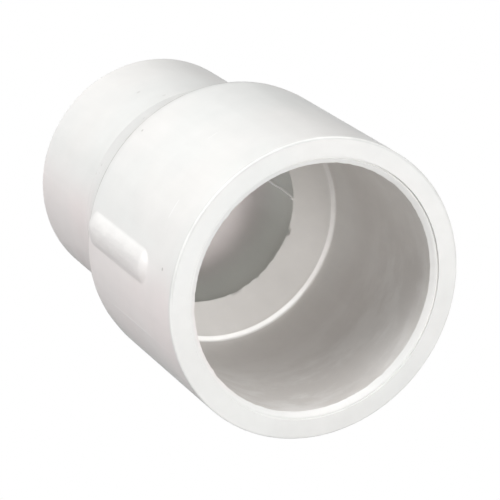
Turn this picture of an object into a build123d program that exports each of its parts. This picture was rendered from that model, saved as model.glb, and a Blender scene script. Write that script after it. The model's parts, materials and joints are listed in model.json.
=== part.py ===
from build123d import *
import os
from math import cos, radians, sin, sqrt, tan

# Concentric reducing coupling for solvent-welded PVC pipe, 1 in socket to 3/4 in socket.
# The real fitting is one injection moulding: nothing is assembled, seated or fastened to it.
#
# Millimetres, +Z up. The flow axis is Y: the large mouth faces -Y and the small mouth +Y.
# The origin is the centre of the large pipe stop, where the large pipe's end seats.

# lengths along the flow axis
overall_length = 54.2
large_socket_depth = 28.8      # large mouth to its pipe stop
small_socket_depth = 19.5      # small mouth to its pipe stop
hub_length = 28.4              # large mouth to the outer shoulder
outer_cone_length = 8.7        # outer shoulder to the start of the small barrel
inner_cone_length = 5.5        # large pipe stop to the throat

# radii
hub_mouth_radius = 20.3        # outside of the large hub at its mouth
barrel_end_radius = 16.4       # outside of the small barrel at its mouth
large_socket_radius = 16.75    # for 33.4 mm pipe
small_socket_radius = 13.4     # for 26.7 mm pipe
stop_inner_radius = 16.1       # inner edge of the large pipe stop
throat_radius = 12.98

# details
mould_draft = 0.5              # degrees, on both outer walls
shoulder_step = 1.0            # radial height of the outer shoulder
lead_in_width = 0.83           # radial width of the rounded lead-in inside each mouth
lead_in_step = 0.12            # how far the rim stands proud of the lead-in
lead_in_depth = 0.25           # rim to the lead-in's inner corner, before its rounding
lead_in_radius = 0.35
rim_edge_radius = 0.25
shoulder_edge_radius = 0.9
cone_root_radius = 0.7
stop_corner_radius = 0.4
lip_radius = 0.15

# raised lug on the large hub, a shallow rib with rounded ends
lug_angle = 171.5              # degrees around the flow axis, from +X towards +Z
lug_length = 19.8
lug_width = 4.4
lug_height = 0.7
lug_setback = 0.7              # from the outer shoulder to the lug
lug_margin = 0.5               # around the rib, so that its crown alone sets its outline
lug_root_depth = 1.5           # how far the lug's form reaches into the hub wall

# positions along the flow axis
large_mouth = -large_socket_depth
shoulder = large_mouth + hub_length
barrel_start = shoulder + outer_cone_length
small_mouth = large_mouth + overall_length
throat = inner_cone_length
small_stop = small_mouth - small_socket_depth

draft_slope = tan(radians(mould_draft))
hub_shoulder_radius = hub_mouth_radius - hub_length * draft_slope
barrel_start_radius = barrel_end_radius + (small_mouth - barrel_start) * draft_slope


def corner(sketch, radius, along):
    """The vertex of a half section nearest to a radius and a place along the flow axis."""
    return sketch.vertices().sort_by_distance(Vector(radius, along, 0))[0]


# The lug: the outermost sliver of a round-ended bar that lies in the hub wall.
radial = Vector(cos(radians(lug_angle)), 0, sin(radians(lug_angle)))
lug_middle = shoulder - lug_setback - lug_length / 2
hub_radius_at_lug = hub_mouth_radius - (lug_middle - large_mouth) * draft_slope
hub_sagitta = hub_radius_at_lug - sqrt(hub_radius_at_lug**2 - (lug_width / 2) ** 2)
crown_rise = lug_height + hub_sagitta
crown_radius = ((lug_width / 2) ** 2 + crown_rise**2) / (2 * crown_rise)
lug_crest_radius = hub_radius_at_lug + lug_height
lug_foot_radius = hub_radius_at_lug - lug_root_depth

# A round end reaches its foot, lug_height lower, this far beyond the centre of its sphere.
end_reach = sqrt(crown_radius**2 - (crown_radius - lug_height) ** 2)
straight_length = lug_length - 2 * end_reach
bar_axis = Plane(
    origin=radial * (lug_crest_radius - crown_radius) + Vector(0, lug_middle, 0),
    x_dir=(0, 1, 0),
    z_dir=radial,
)
lug_foot = Plane(
    origin=radial * lug_foot_radius + Vector(0, lug_middle, 0),
    x_dir=(0, 1, 0),
    z_dir=radial,
)

with BuildPart() as round_ended_bar:
    with BuildSketch(bar_axis):
        SlotCenterToCenter(straight_length, 2 * crown_radius)
        Rectangle(
            straight_length + 2 * crown_radius,
            crown_radius,
            align=(Align.CENTER, Align.MIN),
            mode=Mode.INTERSECT,
        )
    revolve(axis=Axis(bar_axis.origin, bar_axis.x_dir))

with BuildPart() as lug:
    with BuildSketch(lug_foot):
        Rectangle(lug_length + 2 * lug_margin, lug_width + 2 * lug_margin)
    extrude(amount=lug_root_depth + 2 * lug_height)
    add(round_ended_bar.part, mode=Mode.INTERSECT)

with BuildPart() as reducer_body:
    with BuildSketch(Plane.XY) as half_section:
        with BuildLine():
            Polyline(
                (large_socket_radius + lead_in_width, large_mouth + lead_in_step),
                (large_socket_radius + lead_in_width, large_mouth),
                (hub_mouth_radius, large_mouth),
                (hub_shoulder_radius, shoulder),
                (hub_shoulder_radius - shoulder_step, shoulder),
                (barrel_start_radius, barrel_start),
                (barrel_end_radius, small_mouth),
                (small_socket_radius + lead_in_width, small_mouth),
                (small_socket_radius + lead_in_width, small_mouth - lead_in_step),
                (small_socket_radius, small_mouth - lead_in_depth),
                (small_socket_radius, small_stop),
                (throat_radius, small_stop),
                (throat_radius, throat),
                (stop_inner_radius, 0),
                (large_socket_radius, 0),
                (large_socket_radius, large_mouth + lead_in_depth),
                close=True,
            )
        make_face()
        fillet(corner(half_section, hub_mouth_radius, large_mouth), rim_edge_radius)
        fillet(corner(half_section, hub_shoulder_radius, shoulder), shoulder_edge_radius)
        fillet(corner(half_section, barrel_start_radius, barrel_start), cone_root_radius)
        fillet(corner(half_section, barrel_end_radius, small_mouth), rim_edge_radius)
        fillet(corner(half_section, throat_radius, throat), lip_radius)
        fillet(corner(half_section, stop_inner_radius, 0), lip_radius)
        fillet(corner(half_section, large_socket_radius, 0), stop_corner_radius)
        fillet(corner(half_section, large_socket_radius, large_mouth + lead_in_depth), lead_in_radius)
        fillet(corner(half_section, small_socket_radius, small_mouth - lead_in_depth), lead_in_radius)
    revolve(axis=Axis.Y)
    add(lug.part)

reducer_body.part.label = "reducer_body"
os.makedirs("parts", exist_ok=True)
export_step(reducer_body.part, "parts/reducer_body.step")
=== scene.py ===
import bmesh
import bpy
import json
from math import cos, degrees, exp, hypot, pi, radians, sin, tan
from mathutils import Matrix, Vector, noise


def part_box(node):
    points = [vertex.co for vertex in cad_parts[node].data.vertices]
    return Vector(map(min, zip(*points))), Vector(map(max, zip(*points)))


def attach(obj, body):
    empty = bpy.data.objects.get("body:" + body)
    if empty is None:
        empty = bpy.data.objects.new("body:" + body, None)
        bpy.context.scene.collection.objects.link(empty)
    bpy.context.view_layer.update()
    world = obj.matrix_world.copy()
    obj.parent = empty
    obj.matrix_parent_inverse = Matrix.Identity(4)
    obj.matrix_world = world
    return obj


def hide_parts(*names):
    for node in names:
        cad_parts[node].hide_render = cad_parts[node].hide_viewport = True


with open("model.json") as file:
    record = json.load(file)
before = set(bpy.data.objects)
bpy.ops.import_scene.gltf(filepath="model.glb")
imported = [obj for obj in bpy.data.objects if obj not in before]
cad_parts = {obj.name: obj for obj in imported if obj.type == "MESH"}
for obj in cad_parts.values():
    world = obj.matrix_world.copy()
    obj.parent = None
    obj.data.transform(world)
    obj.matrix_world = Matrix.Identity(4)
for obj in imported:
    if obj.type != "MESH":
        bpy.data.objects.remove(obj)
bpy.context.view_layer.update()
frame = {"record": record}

# White PVC concentric reducer: one injection moulding, a large socket narrowing to a small one.
# The mesh is built in millimetres in the frame of the CAD part and turned into metres as it is made:
# Y is the flow axis, the large mouth faces -Y, and +Z is up. A clock angle goes from +X towards +Z.

MM = 0.001
NODE = "reducer_body"
mounts = {mount["name"]: mount for mount in frame["record"]["mounts"]}
low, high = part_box(NODE)

# ---------------------------------------------------------------- sizes, in millimetres

# from the frame
large_mouth = low.y / MM
small_mouth = high.y / MM
hub_mouth_radius = high.x / MM
large_stop = mounts["large_socket"]["pos_m"][1] / MM
small_stop = mounts["small_socket"]["pos_m"][1] / MM
large_socket_radius = mounts["large_socket"]["dims"]["r_mm"]
small_socket_radius = mounts["small_socket"]["dims"]["r_mm"]

# the rest of the half section
hub_length = 28.4
outer_cone_length = 8.7
inner_cone_length = 5.5
barrel_end_radius = 16.4
stop_inner_radius = 16.1
stop_dish = 0.17
throat_radius = 12.98
shoulder_step = 1.0
shoulder_drop = 0.1
shoulder_drop_length = 1.2
lead_in_width = 0.83
lead_in_step = 0.12
lead_in_depth = 0.28
bevel_width = 0.42
bevel_depth = 0.34
groove_width = 0.22
groove_depth = 0.5
groove_overlap = 0.07
draft_slope = tan(radians(0.5))

shoulder = large_mouth + hub_length
barrel_start = shoulder + outer_cone_length
throat = large_stop + inner_cone_length
hub_shoulder_radius = hub_mouth_radius - hub_length * draft_slope
cone_start_radius = hub_shoulder_radius - shoulder_step
barrel_start_radius = barrel_end_radius + (small_mouth - barrel_start) * draft_slope
groove_outer_radius = large_socket_radius + lead_in_width + groove_overlap
groove_inner_radius = groove_outer_radius - groove_width
bevel_bottom = large_mouth + lead_in_depth + bevel_depth

# edge roundings
rim_edge = 0.25
lead_in_edge = 0.5
shoulder_start = 3.0
shoulder_edge = 0.25
shoulder_root = 0.1
cone_root = 0.7
stop_corner = 0.3
lip_edge = 0.15
fine_edge = 0.05

# the bevel inside the large mouth is deepest at one clock angle and shallowest opposite it
bevel_clock = -35.0
bevel_swing = 0.45
bevel_fade = 1.5

# the thin gap between the rim and the lead-in is deepest at one clock angle and fades away from it
groove_clock = 35.0
groove_spread = 50.0

# the raised lug on the hub: a pillow with a flank of its own length on each side
lug_clock = 171.4
lug_length = 19.8
lug_width = 4.6
lug_height = 0.74
lug_setback = 0.7
lug_nose = 2.1
lug_tail = 1.9
lug_upper_flank = 1.9
lug_lower_flank = 2.7
lug_crown = 0.8
lug_root_blend = 0.1
lug_outer_share = 1.3
lug_half_angle = 12.0

# marks that the mould and the trimming leave
parting_clocks = (198.2, 18.2)
parting_rise = 0.035
parting_width = 0.2
parting_length = 20.0
parting_share = 0.5
bore_line_clock = -0.1
bore_line_rise = 0.2
bore_line_width = 0.2
bore_line_wander = 0.07
bore_line_bends = 1.1
bore_line_margin = 1.0
waviness = 0.014
waves_around = 1.6
wave_length = 11.0

# clock angle, width, depth
lip_nicks = ((-21.0, 1.0, 0.33), (-55.0, 0.8, 0.1), (-71.0, 1.6, 0.14))
lip_raggedness = 0.08
lip_reach = 0.5
bevel_raggedness = 0.07
bevel_outer_reach = 0.5
bevel_inner_reach = 1.2

# wavelength in degrees, slice of the noise, share
LIP_NOISE = ((5.0, 3.0, 1.0), (2.5, 23.0, 0.5))
BEVEL_NOISE = ((4.0, 7.0, 1.0), (1.7, 19.0, 0.6))

# how far the ragged lip, the off-centre bevel and the groove reach into the section
lip_zone = 2.0
bevel_zone = 8.0
groove_tolerance = 0.06
hair = 0.01

# mesh spacing
arc_step = 15.0
first_row = 0.05
row_growth = 0.6
widest_row = 1.0
coarse_column = 1.2
column_growth = 0.22
closing_share = 1.5


# ---------------------------------------------------------------- the half section

def corner(radius, along, rounding):
    return Vector((radius, along)), rounding


# Anticlockwise round the wall, from the outer edge of the large rim.
SECTION = [
    corner(hub_mouth_radius, large_mouth, rim_edge),
    corner(hub_shoulder_radius, shoulder - shoulder_drop_length, shoulder_start),
    corner(hub_shoulder_radius - shoulder_drop, shoulder, shoulder_edge),
    corner(cone_start_radius, shoulder, shoulder_root),
    corner(barrel_start_radius, barrel_start, cone_root),
    corner(barrel_end_radius, small_mouth, rim_edge),
    corner(small_socket_radius + lead_in_width, small_mouth, fine_edge),
    corner(small_socket_radius + lead_in_width, small_mouth - lead_in_step, fine_edge),
    corner(small_socket_radius, small_mouth - lead_in_depth, lead_in_edge),
    corner(small_socket_radius, small_stop, fine_edge),
    corner(throat_radius, small_stop, fine_edge),
    corner(throat_radius, throat, lip_edge),
    corner(stop_inner_radius, large_stop, lip_edge),
    corner(large_socket_radius, large_stop - stop_dish, stop_corner),
    corner(large_socket_radius, bevel_bottom, fine_edge),
    corner(large_socket_radius + bevel_width, large_mouth + lead_in_depth, lead_in_edge),
    corner(groove_inner_radius, large_mouth + lead_in_step, fine_edge),
    corner(groove_inner_radius, large_mouth + groove_depth, fine_edge),
    corner(groove_outer_radius, large_mouth + groove_depth, fine_edge),
    corner(groove_outer_radius, large_mouth, fine_edge),
]
HUB_RUN = 0
LAST_OUTSIDE = 5
LIP_RUNS = (10, 11)

lug_start = shoulder - lug_setback - lug_length
lug_end = shoulder - lug_setback
end_margin = 0.25
end_bend = 1.0
end_slope = 2.3
before_lip = 1.1
past_lip = 0.6
close_rows = 0.1
nearer_rows = 0.2

# Where rows lie closer together, at the ends of the lug and at the throat's lip: from, to, spacing.
LUG_ROWS = (
    (lug_start - end_margin, lug_start + end_bend, close_rows),
    (lug_start + end_bend, lug_start + end_slope, nearer_rows),
    (lug_end - end_slope, lug_end - end_bend, nearer_rows),
    (lug_end - end_bend, lug_end + end_margin, close_rows),
)
LIP_ROWS = ((throat - before_lip, throat + past_lip, close_rows),)


def rounded_corner(index):
    """The points of one corner of the section, along its rounding arc."""
    here, rounding = SECTION[index]
    before = (SECTION[index - 1][0] - here).normalized()
    after = (SECTION[(index + 1) % len(SECTION)][0] - here).normalized()
    opening = before.angle(after)
    reach = rounding / tan(opening / 2)
    centre = here + (before + after).normalized() * rounding / sin(opening / 2)
    start = here + before * reach - centre
    turn = start.angle_signed(here + after * reach - centre)
    count = max(2, round(abs(degrees(turn)) / arc_step))
    points = []
    for step in range(count + 1):
        spun = start.copy()
        spun.rotate(Matrix.Rotation(-turn * step / count, 2))
        points.append(centre + spun)
    return points


def row_spacing(point, zones):
    """How far apart rows may be at a point of a straight run."""
    for start, end, step in zones:
        if start <= point.y <= end:
            return step
    return widest_row


def straight_run(start, end, zones):
    """Points between two roundings, close together next to each rounding."""
    length = (end - start).length
    distances = []
    done = 0.0
    while True:
        to_edge = min(done, length - done)
        step = max(first_row, row_growth * to_edge)
        step = min(step, row_spacing(start.lerp(end, done / length), zones))
        if done + closing_share * step >= length:
            break
        done += step
        distances.append(done)
    return [start.lerp(end, distance / length) for distance in distances]


def section_rows():
    """Every row of the mesh as (radius, along, whether it is on the outside)."""
    arcs = [rounded_corner(index) for index in range(len(SECTION))]
    rows = []
    for index, arc in enumerate(arcs):
        following = arcs[(index + 1) % len(arcs)][0]
        zones = LUG_ROWS if index == HUB_RUN else LIP_ROWS if index in LIP_RUNS else ()
        outside = index <= LAST_OUTSIDE
        for point in arc + straight_run(arc[-1], following, zones):
            rows.append((point.x, point.y, outside))
    return rows


# ---------------------------------------------------------------- what breaks the round shape

def clock_offset(clock, centre):
    """Signed angle from a centre, in degrees."""
    return (clock - centre + 180.0) % 360.0 - 180.0


def arc_offset(radius, clock, centre):
    """Signed distance round a circle from a centre."""
    return radius * radians(clock_offset(clock, centre))


def smooth_max(a, b, blend):
    overlap = max(blend - abs(a - b), 0.0) / blend
    return max(a, b) + overlap * overlap * blend / 4


def ridge(distance, width):
    """A small rounded ridge, 1 at its crest."""
    return exp(-((distance / (width / 2)) ** 2))


def unevenness(clock, layers):
    """Smooth noise round a circle, the sum of some layers."""
    turn = radians(clock)
    total = 0.0
    for wavelength, noise_slice, share in layers:
        reach = 360 / (2 * pi * wavelength)
        place = Vector((reach * cos(turn), reach * sin(turn), noise_slice))
        total += share * noise.noise(place)
    return total


lug_middle = (lug_start + lug_end) / 2
hub_radius_at_lug = hub_mouth_radius - (lug_middle - large_mouth) * draft_slope


def crowned(share, crown):
    """A fall that starts level, curves down to the crown share and is straight beyond it."""
    return share * share / (2 * crown) if share < crown else share - crown / 2


def lug_rise(along, clock):
    """How far the lug stands above the hub; its crest runs level with the flow axis."""
    across = arc_offset(hub_radius_at_lug, clock, lug_clock)
    end = lug_tail if along > lug_middle else lug_nose
    from_end = lug_length / 2 - abs(along - lug_middle)
    upper_share = 1 - (lug_width / 2 + across) / lug_upper_flank
    lower_share = 1 - (lug_width / 2 - across) / lug_lower_flank
    slope_share = hypot(max(1 - from_end / end, 0.0), max(upper_share, lower_share, 0.0))
    if slope_share > lug_outer_share:
        return 0.0
    crest = lug_height + (along - lug_middle) * draft_slope
    fall = crowned(slope_share, lug_crown) / crowned(1.0, lug_crown)
    return smooth_max(crest * (1 - fall), 0.0, lug_root_blend)


def parting_line(radius, along, clock):
    """The mould's parting line, which shows along the middle of the hub only."""
    if along > shoulder:
        return 0.0
    rise = 0.0
    for centre in parting_clocks:
        rise += parting_rise * ridge(arc_offset(radius, clock, centre), parting_width)
    return rise * ridge(along - large_mouth - hub_length / 2, parting_length)


def wave(along, clock):
    """The slight unevenness of a moulded wall, always inward."""
    turn = radians(clock)
    place = Vector((waves_around * cos(turn), along / wave_length, waves_around * sin(turn)))
    return -waviness * (0.5 + 0.5 * noise.noise(place))


def bore_line(radius, along, clock):
    """The thin line of flash along the small bore."""
    wander = bore_line_wander * sin(along * bore_line_bends)
    across = arc_offset(radius, clock, bore_line_clock) + wander
    return bore_line_rise * ridge(across, bore_line_width)


def has_bore_line(radius, along):
    """Whether a point of the inside lies on the wall that the line of flash crosses."""
    on_wall = radius < small_socket_radius + hair
    return throat < along < small_mouth - bore_line_margin and on_wall


def flash_share(radius, along, outside, clock):
    """How much of a line of flash or parting line a point shows, for the material."""
    if outside:
        return parting_share * parting_line(radius, along, clock) / parting_rise
    if has_bore_line(radius, along):
        return bore_line(radius, along, clock) / bore_line_rise
    return 0.0


def ragged_lip(along, clock):
    """The throat's lip is slightly ragged, with a few nicks."""
    depth = lip_raggedness * unevenness(clock, LIP_NOISE)
    for centre, width, nick in lip_nicks:
        depth += nick * ridge(arc_offset(throat_radius, clock, centre), width)
    before_throat = max(throat - along, 0.0)
    return depth * ridge(before_throat, lip_reach)


def bevel_place(along, clock):
    """The large lead-in's bevel is cut off centre: deep on one side and shallow on the other."""
    share = bevel_swing * cos(radians(clock - bevel_clock))
    below = max(along - large_mouth - lead_in_step, 0.0)
    bottom = bevel_bottom - large_mouth - lead_in_step
    fade = exp(-max(below - bottom, 0.0) / bevel_fade)
    return along + share * min(below, bottom) * fade


def ragged_bevel(along, clock):
    """The bevel's inner edge is slightly ragged."""
    off_edge = along - bevel_bottom
    reach = bevel_outer_reach if off_edge < 0 else bevel_inner_reach
    return bevel_raggedness * unevenness(clock, BEVEL_NOISE) * ridge(off_edge, reach)


def surface_point(radius, along, outside, clock):
    """Where a point of the round section really lies at a clock angle, as (radius, along)."""
    if outside:
        radius += wave(along, clock)
        if along < shoulder:
            radius += lug_rise(along, clock)
        if abs(clock_offset(clock, lug_clock)) > lug_half_angle:
            radius += parting_line(radius, along, clock)
        return radius, along
    if has_bore_line(radius, along):
        radius -= bore_line(radius, along, clock)
    if radius < throat_radius + lip_zone and along < small_stop + hair:
        radius += ragged_lip(along, clock)
    groove_edge = groove_inner_radius - groove_tolerance
    if along < large_mouth + bevel_zone and radius < groove_edge:
        return radius + ragged_bevel(along, clock), bevel_place(along, clock)
    if along < large_mouth + groove_depth + hair and radius > groove_edge:
        below_lead_in = max(along - large_mouth - lead_in_step, 0.0)
        share = ridge(clock_offset(clock, groove_clock), 2 * groove_spread)
        along -= below_lead_in * (1 - share)
    return radius, along


# ---------------------------------------------------------------- the mesh

# Where columns lie closer together: clock angle, half width, spacing, in degrees.
FINE_COLUMNS = [(lug_clock, 7.2, 0.2)]
FINE_COLUMNS += [(clock, 0.6, 0.11) for clock in parting_clocks]
FINE_COLUMNS += [(bore_line_clock, 0.8, 0.13)]
FINE_COLUMNS += [(clock, 3.0, 0.35) for clock, width, depth in lip_nicks]


def column_clocks():
    """Clock angles of the mesh's columns, close together where something is small."""
    clocks = [0.0]
    while True:
        step = coarse_column
        for centre, half_width, fine in FINE_COLUMNS:
            beyond = max(0.0, abs(clock_offset(clocks[-1], centre)) - half_width)
            step = min(step, fine + column_growth * beyond)
        if clocks[-1] + step * closing_share > 360:
            return clocks
        clocks.append(clocks[-1] + step)


def at_mouth(along):
    """Whether a point lies on an end rim or on the lead-in inside it."""
    return min(along - large_mouth, small_mouth - along) < bevel_bottom - large_mouth


def on_cylinder(radius, clock, along):
    turn = radians(clock)
    return Vector((radius * cos(turn), along, radius * sin(turn)))


def moulded_body():
    """The whole moulding as one closed mesh, with what the material needs at each vertex."""
    rows = section_rows()
    clocks = column_clocks()
    bm = bmesh.new()
    inside_layer = bm.verts.layers.float.new("inside")
    flash_layer = bm.verts.layers.float.new("flash")
    lug_layer = bm.verts.layers.float.new("lug")
    grid = []
    for radius, along, outside in rows:
        on_hub = outside and along < shoulder
        ring = []
        for clock in clocks:
            reach, depth = surface_point(radius, along, outside, clock)
            vert = bm.verts.new(on_cylinder(reach, clock, depth) * MM)
            vert[inside_layer] = 0.0 if outside or at_mouth(along) else 1.0
            vert[flash_layer] = flash_share(radius, along, outside, clock)
            vert[lug_layer] = min(lug_rise(along, clock) / lug_height, 1.0) if on_hub else 0.0
            ring.append(vert)
        grid.append(ring)
    for row, ring in enumerate(grid):
        following = grid[(row + 1) % len(grid)]
        for column, vert in enumerate(ring):
            beside = (column + 1) % len(clocks)
            face = bm.faces.new((vert, following[column], following[beside], ring[beside]))
            face.smooth = True
    bmesh.ops.recalc_face_normals(bm, faces=bm.faces)
    mesh = bpy.data.meshes.new("moulded_body")
    bm.to_mesh(mesh)
    bm.free()
    body = bpy.data.objects.new("moulded_body", mesh)
    bpy.context.scene.collection.objects.link(body)
    return body


# ---------------------------------------------------------------- materials

COOL_WHITE = (0.811, 0.815, 0.80)
WARM_WHITE = (0.825, 0.817, 0.80)
# painted pink bounce light on the lower left of the outside
PINK_LIGHT_WHITE = (0.84, 0.775, 0.765)
SOCKET_WHITE = (0.80, 0.772, 0.745)
BORE_WHITE = (0.79, 0.803, 0.765)
# painted pink reflection in the bore near the small mouth
BORE_PINK_REFLECTION_WHITE = (0.83, 0.775, 0.76)
# paler white: soft patches in the large socket, painted light on the inner and outer cones, rubbed
# spots on the lug
PALER_WHITE = (0.95, 0.935, 0.915)
# painted highlight on the pipe stop
RING_HIGHLIGHT_WHITE = (0.97, 0.96, 0.94)
# painted shade on the rim's outer edge and on the lower side of the rim's face
PAINTED_SHADE_WHITE = (0.69, 0.69, 0.675)
# real scratches, and the painted highlight on the flash line in the bore
SCRATCH_AND_HIGHLIGHT_WHITE = (0.93, 0.93, 0.92)
# real specks, and the painted shade line in front of the shoulder
SPECK_AND_SHADE_GREY = (0.3, 0.28, 0.25)
FLOOR_GREY = (0.5, 0.5, 0.5, 1.0)
# painted glow of the flash line in the bore
PAINTED_FLASH_GLOW = 0.3
PVC_IOR = 1.53

# the larger pale spot inside the large mouth
PALE_SPOT_CLOCK = -38.0
PALE_SPOT_FROM_MOUTH = 3.5

# painted shade: a thin dark line just in front of the shoulder
SHADE_LINE_SETBACK = 0.25

# clock, distance from the large mouth, radius, darkness
SPECKS = (
    (167.0, 3.6, 0.3, 0.5), (129.5, 26.4, 0.25, 0.4), (112.0, 43.4, 0.4, 0.2),
    (105.5, 38.6, 0.35, 0.16), (151.0, 35.9, 0.3, 0.3), (156.0, 36.9, 0.25, 0.2),
    (123.0, 33.4, 0.3, 0.3), (154.5, 35.0, 0.2, 0.25),
)
# clocks, distance from the large mouth, half width
SCUFFS = (((150.2, 142.1), 6.7, 0.16), ((118.0, 113.5), 12.6, 0.1), ((205.0, 201.0), 15.0, 0.1))

# how much of a speck's radius, a scuff's width and a scuff's length has the full shade
SPECK_CORE = 0.4
SCUFF_CORE = 0.3
SCUFF_LENGTH_CORE = 0.8


def new_material(name):
    material = bpy.data.materials.new(name)
    material.use_nodes = True
    nodes = material.node_tree.nodes
    nodes.clear()
    return material, nodes, material.node_tree.links


class NodeTree:
    """Short calls for building a node tree, with lengths in millimetres."""

    def __init__(self, name):
        self.material, self.nodes, self.links = new_material(name)
        self.coordinates = self.nodes.new("ShaderNodeTexCoord").outputs["Object"]
        self.x, self.y, self.z = self.components(self.place())
        self.from_axis = self.vector("LENGTH", self.place((1.0, 0.0, 1.0)))

    def feed(self, socket, value):
        if isinstance(value, bpy.types.NodeSocket):
            self.links.new(value, socket)
        elif isinstance(value, (int, float)) or len(value) == 3 and socket.type == "VECTOR":
            socket.default_value = value
        else:
            socket.default_value = (*value, 1.0)

    def math(self, operation, a, b=0.0, c=0.0, clamp=False):
        node = self.nodes.new("ShaderNodeMath")
        node.operation = operation
        node.use_clamp = clamp
        for socket, value in zip(node.inputs, (a, b, c)):
            self.feed(socket, value)
        return node.outputs[0]

    def product(self, first, *others):
        for other in others:
            first = self.math("MULTIPLY", first, other)
        return first

    def between(self, value, low, high):
        """A value from 0 to 1, brought to lie between low and high."""
        return self.math("MULTIPLY_ADD", value, high - low, low)

    def vector(self, operation, a, b=(0.0, 0.0, 0.0)):
        node = self.nodes.new("ShaderNodeVectorMath")
        node.operation = operation
        self.feed(node.inputs[0], a)
        self.feed(node.inputs[1], b)
        return node.outputs["Value"] if operation in ("LENGTH", "DISTANCE") else node.outputs[0]

    def scaled(self, vector, factor):
        node = self.nodes.new("ShaderNodeVectorMath")
        node.operation = "SCALE"
        self.feed(node.inputs[0], vector)
        self.feed(node.inputs["Scale"], factor)
        return node.outputs[0]

    def components(self, vector):
        node = self.nodes.new("ShaderNodeSeparateXYZ")
        self.feed(node.inputs[0], vector)
        return node.outputs["X"], node.outputs["Y"], node.outputs["Z"]

    def place(self, stretch=(1.0, 1.0, 1.0)):
        """Object coordinates in millimetres, times a stretch along each axis."""
        return self.vector("MULTIPLY", self.coordinates, tuple(s / MM for s in stretch))

    def noise(self, size, stretch=(1.0, 1.0, 1.0), detail=2.0, roughness=0.5):
        """Noise from 0 to 1 whose blotches are about this size in millimetres."""
        node = self.nodes.new("ShaderNodeTexNoise")
        self.feed(node.inputs["Vector"], self.place(stretch))
        node.inputs["Scale"].default_value = 1 / size
        node.inputs["Detail"].default_value = detail
        node.inputs["Roughness"].default_value = roughness
        return node.outputs["Fac"]

    def ramp(self, value, zero_at, one_at):
        """A mask that is 0 at one value and 1 at the other, smooth between them."""
        node = self.nodes.new("ShaderNodeMapRange")
        node.interpolation_type = "SMOOTHSTEP"
        self.feed(node.inputs["Value"], value)
        node.inputs["From Min"].default_value = zero_at
        node.inputs["From Max"].default_value = one_at
        return node.outputs["Result"]

    def along(self, origin, zero_at, one_at):
        """A ramp along the flow axis, with its ends measured from an origin."""
        return self.ramp(self.y, origin + zero_at, origin + one_at)

    def mix(self, share, a, b):
        node = self.nodes.new("ShaderNodeMix")
        node.data_type = "RGBA"
        self.feed(node.inputs["Factor"], share)
        self.feed(node.inputs[6], a)
        self.feed(node.inputs[7], b)
        return node.outputs[2]

    def attribute(self, name):
        node = self.nodes.new("ShaderNodeAttribute")
        node.attribute_name = name
        return node.outputs["Fac"]

    def bump(self, height, distance, strength, normal=None):
        """A bump whose height of 1 stands for this distance in millimetres."""
        node = self.nodes.new("ShaderNodeBump")
        node.inputs["Distance"].default_value = distance * MM
        node.inputs["Strength"].default_value = strength
        self.feed(node.inputs["Height"], height)
        if normal is not None:
            self.feed(node.inputs["Normal"], normal)
        return node.outputs["Normal"]


def outside_radius(from_mouth):
    """The outside of the wall at a distance from the large mouth."""
    if from_mouth < hub_length:
        return hub_mouth_radius - from_mouth * draft_slope
    share = min((from_mouth - hub_length) / outer_cone_length, 1.0)
    return cone_start_radius + share * (barrel_start_radius - cone_start_radius)


def specks(tree):
    """Tiny dark specks at set places on the outside."""
    total = 0.0
    for clock, from_mouth, size, darkness in SPECKS:
        centre = on_cylinder(outside_radius(from_mouth), clock, large_mouth + from_mouth)
        distance = tree.vector("DISTANCE", tree.place(), centre)
        spot = tree.ramp(distance, size, size * SPECK_CORE)
        total = tree.math("ADD", total, tree.product(spot, darkness))
    return total


def scuff(tree, clocks, from_mouth, width):
    """A thin scratch part of the way round the hub."""
    middle = sum(clocks) / 2
    reach = radians(abs(clocks[1] - clocks[0]) / 2) * hub_mouth_radius
    centre = on_cylinder(hub_mouth_radius, middle, large_mouth + from_mouth)
    offset = tree.vector("SUBTRACT", tree.place(), centre)
    off_line = tree.math("ABSOLUTE", tree.components(offset)[1])
    across = tree.ramp(off_line, width, width * SCUFF_CORE)
    near = tree.ramp(tree.vector("LENGTH", offset), reach, reach * SCUFF_LENGTH_CORE)
    return tree.product(across, near)


def scuffs(tree):
    total = 0.0
    for clocks, from_mouth, width in SCUFFS:
        total = tree.math("ADD", total, scuff(tree, clocks, from_mouth, width))
    return total


def ground_colour(tree, inside, past_throat):
    """Clouds of warmer and cooler white outside, warmer in the large socket, cooler past the throat;
    painted pink light on the lower left outside and a painted pink reflection near the small mouth.
    """
    clouds = tree.ramp(tree.noise(14.0, detail=1.0), zero_at=0.35, one_at=0.65)
    colour = tree.mix(clouds, COOL_WHITE, WARM_WHITE)
    # painted light: a pink bounce light on the lower left of the hub and barrel, as a pink tint
    painted_pink_light = tree.product(
        tree.ramp(tree.z, zero_at=7.0, one_at=0.0),
        tree.ramp(tree.z, zero_at=-17.0, one_at=-6.0),
        tree.ramp(tree.x, zero_at=-7.0, one_at=-13.0),
        tree.between(clouds, low=0.7, high=1.0),
        tree.along(large_mouth, zero_at=0.05, one_at=0.7),
    )
    colour = tree.mix(painted_pink_light, colour, PINK_LIGHT_WHITE)
    # painted reflection: a pink tint in the bore near the small mouth
    near_small_mouth = tree.along(small_mouth, zero_at=-15.0, one_at=-5.0)
    past_colour = tree.mix(near_small_mouth, BORE_WHITE, BORE_PINK_REFLECTION_WHITE)
    bore_colour = tree.mix(past_throat, SOCKET_WHITE, past_colour)
    return tree.mix(inside, colour, bore_colour)


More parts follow.
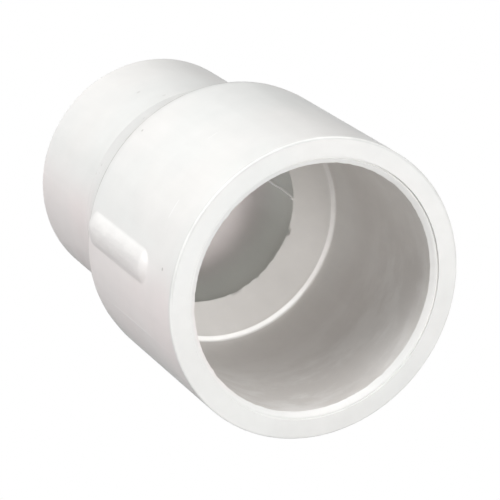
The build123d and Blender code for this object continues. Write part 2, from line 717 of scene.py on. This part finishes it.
def pale_patches(tree, inside):
    """Soft paler patches in the large socket, drawn out round the wall and stronger on its lower side,
    and one larger pale spot near its mouth.
    """
    cloudy = tree.noise(6.0, stretch=(0.6, 1.2, 0.6), detail=5.0, roughness=0.62)
    patches = tree.product(
        tree.ramp(cloudy, zero_at=0.42, one_at=0.62),
        tree.along(large_mouth, zero_at=26.0, one_at=2.0),
        tree.between(tree.ramp(tree.z, zero_at=6.0, one_at=-6.0), low=0.3, high=1.0),
        inside,
    )
    pale_spot_centre = on_cylinder(large_socket_radius, PALE_SPOT_CLOCK, large_mouth + PALE_SPOT_FROM_MOUTH)
    pale_spot_distance = tree.vector("DISTANCE", tree.place(), pale_spot_centre)
    pale_spot = tree.product(
        tree.ramp(pale_spot_distance, zero_at=10.0, one_at=2.0),
        tree.between(patches, low=0.6, high=1.2),
        inside,
    )
    paleness = tree.math("MAXIMUM", tree.product(patches, 0.85), pale_spot)
    return tree.math("MINIMUM", paleness, 1.0)


def painted_inside_light(tree, inside, past_throat):
    """Painted light: the inner cone is a little paler, and so is the deep end of the wall on the right.
    """
    on_inner_cone = tree.product(
        tree.along(large_stop, zero_at=0.0, one_at=0.4),
        tree.ramp(past_throat, zero_at=0.6, one_at=0.1),
    )
    deep_on_right = tree.product(
        tree.along(large_stop, zero_at=-9.0, one_at=-3.0),
        tree.along(large_stop, zero_at=0.4, one_at=0.0),
        tree.ramp(tree.x, zero_at=11.0, one_at=15.0),
    )
    cone_share = tree.product(on_inner_cone, 0.35)
    deep_share = tree.product(deep_on_right, 0.5)
    return tree.product(tree.math("ADD", cone_share, deep_share), inside)


def painted_stop_highlight(tree, inside):
    """Painted highlight on the pipe stop's lower side, as a paler colour."""
    return tree.product(
        tree.ramp(tree.from_axis, stop_inner_radius - 0.1, stop_inner_radius + 0.05),
        tree.along(large_stop, zero_at=-0.7, one_at=-0.35),
        tree.along(large_stop, zero_at=0.3, one_at=0.1),
        tree.ramp(tree.z, zero_at=-10.0, one_at=-14.0),
        inside,
    )


def painted_rim_edge_shade(tree):
    """Painted shade on the rim's outer edge, on its upper side, dimming its highlight; the same mask
    makes the finish rougher there.
    """
    return tree.product(
        tree.ramp(tree.from_axis, hub_mouth_radius - 0.45, hub_mouth_radius - 0.2),
        tree.along(large_mouth, zero_at=0.6, one_at=0.25),
        tree.ramp(tree.z, zero_at=-2.0, one_at=4.0),
    )


def painted_low_rim_shade(tree):
    """Painted shade: the face of the large rim, darker towards its lower side."""
    return tree.product(
        tree.along(large_mouth, zero_at=0.3, one_at=0.1),
        tree.ramp(tree.z, zero_at=6.0, one_at=-8.0),
        0.4,
    )


def painted_cone_light(tree, outside):
    """Painted light: the cone behind the shoulder, a little paler."""
    return tree.product(
        tree.along(shoulder, zero_at=0.3, one_at=1.0),
        tree.along(barrel_start, zero_at=1.0, one_at=-1.0),
        outside,
        0.25,
    )


def painted_shoulder_shade(tree, outside, blotches):
    """A thin uneven line of painted shade just in front of the shoulder."""
    off_line = tree.math("ABSOLUTE", tree.math("SUBTRACT", tree.y, shoulder - SHADE_LINE_SETBACK))
    return tree.product(
        tree.ramp(off_line, zero_at=0.23, one_at=0.08),
        tree.between(blotches, low=0.25, high=0.5),
        outside,
    )


def flow_shade(tree, streaks):
    """Long faint streaks along the flow axis, and finer mottling."""
    mottling = tree.noise(4.0, detail=4.0, roughness=0.6)
    return tree.product(
        tree.between(streaks, low=0.975, high=1.025),
        tree.between(mottling, low=0.96, high=1.04),
    )


def finish(tree, haze, streaks, scratches, rim_edge_shade):
    """Satin gloss, duller in the mottling, along streaks, on scratches and at the large rim."""
    roughness = tree.between(haze, low=0.2, high=0.38)
    rim = tree.along(large_mouth, zero_at=0.8, one_at=0.3)
    for mask, share in ((streaks, 0.06), (scratches, 0.2), (rim, 0.15)):
        roughness = tree.math("MULTIPLY_ADD", mask, share, roughness)
    return tree.math("MULTIPLY_ADD", rim_edge_shade, 0.3, roughness, clamp=True)


def relief(tree, haze, rubs, lug, dirt):
    """Mould texture, drag marks along the flow axis, a rough lug and pits under the specks."""
    texture = tree.noise(0.35, detail=3.0)
    normal = tree.bump(texture, distance=0.004, strength=0.6)
    drag = tree.noise(0.5, stretch=(1.0, 0.03, 1.0), detail=2.0)
    normal = tree.bump(drag, distance=0.006, strength=0.5, normal=normal)
    normal = tree.bump(haze, distance=0.03, strength=0.5, normal=normal)
    normal = tree.bump(tree.product(rubs, lug), distance=0.12, strength=0.7, normal=normal)
    return tree.bump(tree.product(dirt, -1.0), distance=0.04, strength=0.8, normal=normal)


def white_pvc():
    """White rigid PVC: an injection-moulded satin gloss, slightly mottled, scuffed and specked."""
    tree = NodeTree("white_pvc")
    inside = tree.attribute("inside")
    flash = tree.attribute("flash")
    lug = tree.attribute("lug")
    outside = tree.ramp(inside, zero_at=0.5, one_at=0.4)
    past_throat = tree.along(throat, zero_at=-0.5, one_at=0.5)
    blotches = tree.ramp(tree.noise(2.5, detail=3.0), zero_at=0.35, one_at=0.65)
    streaks = tree.noise(1.6, stretch=(1.0, 0.07, 1.0), detail=3.0)
    rubs = tree.noise(1.3, stretch=(1.0, 0.45, 1.0), detail=4.0, roughness=0.6)
    haze = tree.noise(7.0, detail=5.0, roughness=0.65)
    rim_edge_shade = painted_rim_edge_shade(tree)
    dirt = specks(tree)
    scratches = scuffs(tree)

    # colour, from the ground up
    colour = ground_colour(tree, inside, past_throat)
    colour = tree.mix(pale_patches(tree, inside), colour, PALER_WHITE)
    # painted light on the inner cone and the deep right wall
    colour = tree.mix(painted_inside_light(tree, inside, past_throat), colour, PALER_WHITE)
    # painted highlight on the pipe stop
    colour = tree.mix(painted_stop_highlight(tree, inside), colour, RING_HIGHLIGHT_WHITE)
    # painted shade on the rim's outer edge, in blotches
    blotchy_rim_shade = tree.product(rim_edge_shade, tree.between(blotches, low=0.6, high=1.0))
    colour = tree.mix(blotchy_rim_shade, colour, PAINTED_SHADE_WHITE)
    # painted shade on the lower side of the rim's face
    colour = tree.mix(painted_low_rim_shade(tree), colour, PAINTED_SHADE_WHITE)
    # painted light on the outer cone
    colour = tree.mix(painted_cone_light(tree, outside), colour, PALER_WHITE)
    # painted shade line in front of the shoulder
    colour = tree.mix(painted_shoulder_shade(tree, outside, blotches), colour, SPECK_AND_SHADE_GREY)
    colour = tree.scaled(colour, flow_shade(tree, streaks))
    rubbed = tree.product(tree.ramp(rubs, zero_at=0.45, one_at=0.65), lug, 0.3)
    colour = tree.mix(rubbed, colour, PALER_WHITE)
    colour = tree.mix(dirt, colour, SPECK_AND_SHADE_GREY)
    colour = tree.mix(tree.product(scratches, 0.6), colour, SCRATCH_AND_HIGHLIGHT_WHITE)
    # painted highlight on the flash line in the bore; the parting lines outside are paler
    colour = tree.mix(flash, colour, SCRATCH_AND_HIGHLIGHT_WHITE)

    shader = tree.nodes.new("ShaderNodeBsdfPrincipled")
    tree.feed(shader.inputs["Base Color"], colour)
    tree.feed(shader.inputs["Roughness"], finish(tree, haze, streaks, scratches, rim_edge_shade))
    tree.feed(shader.inputs["Normal"], relief(tree, haze, rubs, lug, dirt))
    shader.inputs["IOR"].default_value = PVC_IOR
    # painted glow: the thin flash in the bore glows, standing in for light shining through it
    tree.feed(shader.inputs["Emission Color"], SCRATCH_AND_HIGHLIGHT_WHITE)
    tree.feed(shader.inputs["Emission Strength"], tree.product(flash, inside, PAINTED_FLASH_GLOW))
    output = tree.nodes.new("ShaderNodeOutputMaterial")
    tree.links.new(shader.outputs["BSDF"], output.inputs["Surface"])
    return tree.material


def pale_floor_material():
    """White to the camera, grey to every other ray."""
    material, nodes, links = new_material("pale_floor")
    output = nodes.new("ShaderNodeOutputMaterial")
    mix = nodes.new("ShaderNodeMixShader")
    path = nodes.new("ShaderNodeLightPath")
    matte = nodes.new("ShaderNodeBsdfDiffuse")
    matte.inputs["Color"].default_value = FLOOR_GREY
    bright = nodes.new("ShaderNodeEmission")
    bright.inputs["Strength"].default_value = 1.0
    links.new(path.outputs["Is Camera Ray"], mix.inputs["Fac"])
    links.new(matte.outputs["BSDF"], mix.inputs[1])
    links.new(bright.outputs["Emission"], mix.inputs[2])
    links.new(mix.outputs["Shader"], output.inputs["Surface"])
    return material


# ---------------------------------------------------------------- the stage

FLOOR_HALF_SIZE = 3000.0

CAMERA_AZIMUTH = -24.58
CAMERA_ELEVATION = 19.35
CAMERA_BACK = 418.7
CAMERA_RIGHT = -8.44
CAMERA_UP = 5.09
CAMERA_LENS = 236.47

LAMP_DISTANCE = 3000.0

# name, azimuth, elevation, size, power
LAMPS = (
    ("key", -100, 50, 1500, 80.0),
    ("front", 0, 7, 700, 30.0),
    ("front_left", -10, 22, 900, 22.0),
    ("front_right", 20, 14, 700, 12.0),
    ("top_left", -40, 72, 1200, 8.0),
    ("top_right", 20, 72, 1200, 28.0),
    ("right_fill", 110, 3, 1500, 15.0),
)


def pale_floor():
    half = FLOOR_HALF_SIZE * MM
    bm = bmesh.new()
    corners = [(-half, -half), (half, -half), (half, half), (-half, half)]
    bm.faces.new([bm.verts.new((x, y, low.z)) for x, y in corners])
    mesh = bpy.data.meshes.new("pale_floor")
    bm.to_mesh(mesh)
    bm.free()
    floor = bpy.data.objects.new("pale_floor", mesh)
    floor.data.materials.append(pale_floor_material())
    bpy.context.scene.collection.objects.link(floor)


def view_axes(azimuth, elevation):
    """The directions to the right, up and back towards the camera."""
    turn = radians(azimuth)
    tilt = radians(elevation)
    back = Vector((sin(turn) * cos(tilt), -cos(turn) * cos(tilt), sin(tilt)))
    right = Vector((cos(turn), sin(turn), 0.0))
    return right, back.cross(right), back


def placed(axes, place):
    """The matrix of something that looks along the view axes from a place in millimetres."""
    return Matrix.Translation(place * MM) @ Matrix(axes).transposed().to_4x4()


def camera():
    axes = view_axes(CAMERA_AZIMUTH, CAMERA_ELEVATION)
    right, up, back = axes
    mouth_centre = Vector((0.0, large_mouth, 0.0))
    data = bpy.data.cameras.new("camera")
    data.lens = CAMERA_LENS
    data.sensor_width = 36.0
    data.clip_start = 0.01
    data.clip_end = 20.0
    made = bpy.data.objects.new("camera", data)
    place = mouth_centre + right * CAMERA_RIGHT + up * CAMERA_UP + back * CAMERA_BACK
    made.matrix_world = placed(axes, place)
    bpy.context.scene.collection.objects.link(made)
    bpy.context.scene.camera = made


def area_light(name, azimuth, elevation, size, power):
    """A soft square light aimed at the middle of the part."""
    axes = view_axes(azimuth, elevation)
    middle = Vector((0.0, (large_mouth + small_mouth) / 2, 0.0))
    data = bpy.data.lights.new(name, "AREA")
    data.size = size * MM
    data.energy = power
    light = bpy.data.objects.new(name, data)
    light.matrix_world = placed(axes, middle + axes[2] * LAMP_DISTANCE)
    bpy.context.scene.collection.objects.link(light)


def white_backdrop():
    """White to the camera, dark to every other ray, so that only the lamps light the part."""
    world = bpy.data.worlds.new("studio")
    world.use_nodes = True
    nodes = world.node_tree.nodes
    path = nodes.new("ShaderNodeLightPath")
    nodes["Background"].inputs["Color"].default_value = (1.0, 1.0, 1.0, 1.0)
    strength = nodes["Background"].inputs["Strength"]
    world.node_tree.links.new(path.outputs["Is Camera Ray"], strength)
    return world


def lighting():
    for lamp in LAMPS:
        area_light(*lamp)
    bpy.context.scene.world = white_backdrop()
    bpy.context.scene.view_settings.view_transform = "Standard"


body = moulded_body()
body.data.materials.append(white_pvc())
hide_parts(NODE)
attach(body, "root")
pale_floor()
lighting()
camera()
